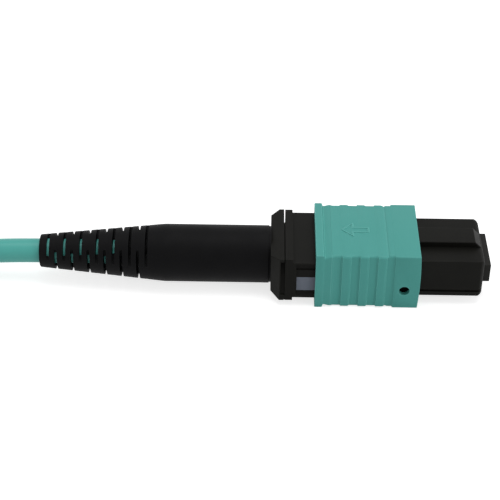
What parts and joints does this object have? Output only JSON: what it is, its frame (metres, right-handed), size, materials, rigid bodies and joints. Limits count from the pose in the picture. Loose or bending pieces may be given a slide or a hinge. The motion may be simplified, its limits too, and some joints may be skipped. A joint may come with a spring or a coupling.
{
  "type": "multi-fibre push-on connector",
  "caption": "Rectangular multi-fibre plug with a sprung pull-back sleeve, floating ferrule and finned boot on a round patch cable.",
  "frame": {"origin": "centre of the near ferrule's polished end face", "axes": "+X out of the connector towards the mating half, +Z the side with the polarity key"},
  "size_m": [0.1441, 0.0314, 0.0208],
  "materials": {
    "sleeve": "moulded aqua plastic with a fine satin texture",
    "housing": "moulded black glass-filled plastic",
    "ferrule": "black moulded thermoset with a polished end face",
    "boot": "soft matt black moulded rubber",
    "cable": "extruded aqua jacket",
    "ribbon": "clear coated fibre ribbon",
    "yarn": "yellow aramid yarn",
    "crimp": "crimped metal tube",
    "spring": "drawn spring wire",
    "spacer": "stamped metal",
    "tie": "black woven tie"
  },
  "bodies": {
    "connector": {"inner_housing": "housing", "back_body": "housing", "strain_relief": "boot", "cable_end": "cable", "fibre_ribbon": "ribbon", "aramid_yarn": "yarn", "crimp_ring": "crimp", "ferrule_spring": "spring", "coupling_spring_left": "spring", "coupling_spring_right": "spring", "cable_lead": "cable", "cable_hank": "cable", "cable_last_turn": "cable", "hank_tie_front": "tie", "hank_tie_rear": "tie", "far_inner_housing": "housing", "far_back_body": "housing", "far_strain_relief": "boot", "far_cable_end": "cable", "far_fibre_ribbon": "ribbon", "far_ferrule_spring": "spring", "far_coupling_spring_left": "spring", "far_coupling_spring_right": "spring"},
    "sleeve": {"outer_sleeve": "sleeve"},
    "ferrule": {"mt_ferrule": "ferrule", "pin_spacer": "spacer", "ferrule_boot": "boot"},
    "far_sleeve": {"far_outer_sleeve": "sleeve"},
    "far_ferrule": {"far_mt_ferrule": "ferrule", "far_pin_spacer": "spacer", "far_ferrule_boot": "boot"}
  },
  "joints": [
    {"name": "sleeve_pull", "type": "slide", "parent": "connector", "child": "sleeve", "axis": [-1, 0, 0], "range_m": [0, 0.002], "stiffness_N_per_m": 500, "deforming": ["coupling_spring_left", "coupling_spring_right"]},
    {"name": "ferrule_float", "type": "slide", "parent": "connector", "child": "ferrule", "axis": [-1, 0, 0], "range_m": [0, 0.0008], "stiffness_N_per_m": 3000, "deforming": ["ferrule_spring"]},
    {"name": "far_sleeve_pull", "type": "slide", "parent": "connector", "child": "far_sleeve", "axis": [1, 0, 0], "range_m": [0, 0.002], "stiffness_N_per_m": 500, "deforming": ["far_coupling_spring_left", "far_coupling_spring_right"]},
    {"name": "far_ferrule_float", "type": "slide", "parent": "connector", "child": "far_ferrule", "axis": [1, 0, 0], "range_m": [0, 0.0008], "stiffness_N_per_m": 3000, "deforming": ["far_ferrule_spring"]}
  ]
}
